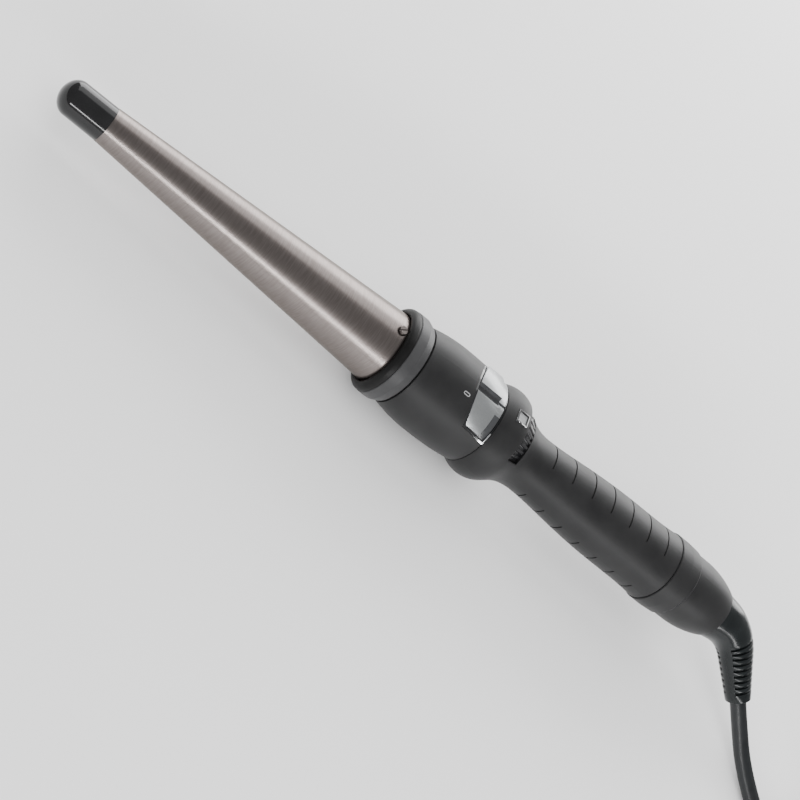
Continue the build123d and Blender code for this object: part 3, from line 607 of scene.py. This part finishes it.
# A merged copy of a node's mesh, with its flat faces joined, two finishes and soft edges
def reworkNode(nodeName, pieceName, body, finishes, choose, edge):
    bm = bmesh.new()
    bm.from_mesh(nodes[nodeName].data)
    bmesh.ops.remove_doubles(bm, verts=bm.verts, dist=0.00002)
    bmesh.ops.dissolve_limit(bm, angle_limit=radians(1), verts=bm.verts, edges=bm.edges)
    bm.normal_update()
    for face in bm.faces:
        face.material_index = choose(face.calc_center_median(), face.normal)
    smoothFaces(bm)
    piece = finishPiece(pieceName, bm, finishes, body, nodeName)
    softenEdges(piece, edge, 25)


rockerLook = {
    "edge": 0.00022,
    "grooveMiddle": -0.0003,     # sideways place of the valley between the pads
    "grooveHalf": 0.0029,
    "grooveHeight": 0.0155,
    "grooveLean": 0.4,           # how far its faces lean sideways, and at least face up
    "grooveFacing": 0.3,
    "ledge": 0.0030,
    "ledgeShadeFrom": -0.0045,
    "rearEnd": wandPlace(Vector((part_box("rocker")[1].x, 0, tipStart.z)))[0],
}


# Silver pads, with painted shade on the valley wall between them and on the ledge behind the lower one
def rockerShadeMask(centre, normal):
    along, side, height = wandPlace(centre)
    upwards = normal.dot(topDir)
    leans = abs(normal.y) > rockerLook["grooveLean"] and upwards > rockerLook["grooveFacing"]
    nearMiddle = abs(side - rockerLook["grooveMiddle"]) < rockerLook["grooveHalf"]
    inGroove = leans and nearMiddle and height > rockerLook["grooveHeight"]
    onLedge = side < rockerLook["ledgeShadeFrom"] and (
        along > rockerLook["rearEnd"] - rockerLook["ledge"])
    return int(inGroove or onLedge)


trimLook = {
    "edge": 0.0001,
    "litBeyond": 0.0015,
    "middle": sum((Vector(corner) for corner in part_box("window_frame")), Vector()) / 2,
}


# Painted highlight: bright chrome on the tip's side and on the front, where the light catches the trim, and dark
# gloss on the others
def windowGlintMask(centre, normal):
    offset = centre - trimLook["middle"]
    return int(offset.x >= -trimLook["litBeyond"] and offset.y >= -trimLook["litBeyond"])


# The rocker's pads get painted shade on the valley wall and on the ledge behind the lower pad
reworkNode("rocker", "rockerPads", "rocker", ["silverLacquer", "rockerPaintedShade"], rockerShadeMask,
           rockerLook["edge"])
# The window trim gets a painted highlight: chrome only on the sides that catch the light
reworkNode("window_frame", "windowTrim", "wand", ["brightTrim", "bezelGloss"], windowGlintMask,
           trimLook["edge"])
print("rocker and window trim made")

zeroMark = {
    "station": 170.7,
    "angle": 19.5,
    "surface": 18.4,     # radius of the head there
    "proud": 0.03,
    "length": 2.8,
    "width": 1.35,
    "line": 0.3,
    "ink": 0.00005,
}


# A plain "0" in front of the rocker: a ring drawn out into an oval, then wrapped on the head
def makeZeroMark():
    bm = bmesh.new()
    bmesh.ops.create_circle(bm, cap_ends=False, radius=0.5, segments=32)
    half = (zeroMark["length"] - zeroMark["width"]) / 2
    keep = 1 - 2 * zeroMark["line"] / zeroMark["width"]

    def endShift(vert):
        return half if vert.co.x > 0.001 else -half if vert.co.x < -0.001 else 0

    for vert in bm.verts:
        vert.co = Vector((vert.co.x * zeroMark["width"] + endShift(vert),
                          vert.co.y * zeroMark["width"], 0))
    made = bmesh.ops.extrude_edge_only(bm, edges=bm.edges[:])
    for vert in (item for item in made["geom"] if isinstance(item, bmesh.types.BMVert)):
        shift = endShift(vert)
        vert.co = Vector(((vert.co.x - shift) * keep + shift, vert.co.y * keep, 0))
    for vert in bm.verts:
        angle = zeroMark["angle"] + degrees(vert.co.y / zeroMark["surface"])
        vert.co = onWand(zeroMark["station"] + vert.co.x,
                         zeroMark["surface"] + zeroMark["proud"], angle)
    bmesh.ops.recalc_face_normals(bm, faces=bm.faces)
    piece = finishPiece("zeroMark", bm, ["markGrey"], "wand")
    thick = piece.modifiers.new("ink", "SOLIDIFY")
    thick.thickness = zeroMark["ink"]
    thick.offset = 0


makeZeroMark()
print("zero mark made")

studio = {
    "floorSize": 40.0,
    "floorColour": (0.92, 0.92, 0.922),
    "floorDarker": 0.985,
    "floorCloud": 3.0,
    "floorRoughness": 0.9,
    "floorGloss": 0.1,
    "skyColour": (1, 1, 1, 1),
    "skyStrength": 0.42,
    "middle": (0.03, 0.0, 0.02),
}


def makeFloor():
    bm = bmesh.new()
    bmesh.ops.create_grid(bm, x_segments=1, y_segments=1, size=studio["floorSize"] / 2)
    mesh = bpy.data.meshes.new("floor")
    bm.to_mesh(mesh)
    bm.free()
    floor = bpy.data.objects.new("floor", mesh)
    bpy.context.scene.collection.objects.link(floor)
    material, tree, shader = newMaterial("floorPaper")
    cloud = noise(tree, objectCoords(tree), studio["floorCloud"], 3.0)
    colour = studio["floorColour"]
    darker = shaded(colour, studio["floorDarker"])
    tree.links.new(blendColours(tree, cloud, darker, colour), shader.inputs["Base Color"])
    setInputs(shader, Roughness=studio["floorRoughness"], Specular_IOR_Level=studio["floorGloss"])
    mesh.materials.append(material)


# Angles go round the wand from the side that faces the camera, positive up and back.
# Metres and watts; the overhead one isn't mirrored in the object.
lights = {
    "backSoftbox": {"angle": 115, "distance": 0.75, "along": 0.25, "size": (1.5, 0.6),
                    "power": 20, "glossy": True},
    "upperSoftbox": {"angle": 77, "distance": 1.2, "along": 0.1, "size": (1.9, 0.75),
                     "power": 8, "glossy": True},
    "frontStrip": {"angle": -36, "distance": 0.8, "along": 0.33, "size": (1.6, 0.06),
                   "power": 9, "glossy": True},
    "overhead": {"angle": 20, "distance": 1.5, "along": 0.0, "size": (1.8, 1.8),
                 "power": 19, "glossy": False},
}


def makeLights():
    middle = Vector(studio["middle"])
    toCamera = Vector(view["place"]) - middle
    facing = (toCamera - axisDir * toCamera.dot(axisDir)).normalized()
    upSide = facing.cross(axisDir)
    if upSide.z < 0:
        upSide.negate()
    for name, light in lights.items():
        lamp = bpy.data.lights.new(name, "AREA")
        lamp.shape = "RECTANGLE"
        lamp.size, lamp.size_y = light["size"]
        lamp.energy = light["power"]
        turn = radians(light["angle"])
        aim = facing * cos(turn) + upSide * sin(turn)
        place = middle + aim * light["distance"] + axisDir * light["along"]
        rotation = Matrix((axisDir, aim.cross(axisDir), aim)).transposed().to_4x4()
        lampObject = bpy.data.objects.new(name, lamp)
        lampObject.matrix_world = Matrix.Translation(place) @ rotation
        lampObject.visible_glossy = light["glossy"]
        bpy.context.scene.collection.objects.link(lampObject)


def makeSky():
    world = bpy.data.worlds.new("studio")
    world.use_nodes = True
    setInputs(world.node_tree.nodes["Background"], Color=studio["skyColour"],
              Strength=studio["skyStrength"])
    bpy.context.scene.world = world


makeFloor()
makeLights()
makeSky()
print("floor and lights made")
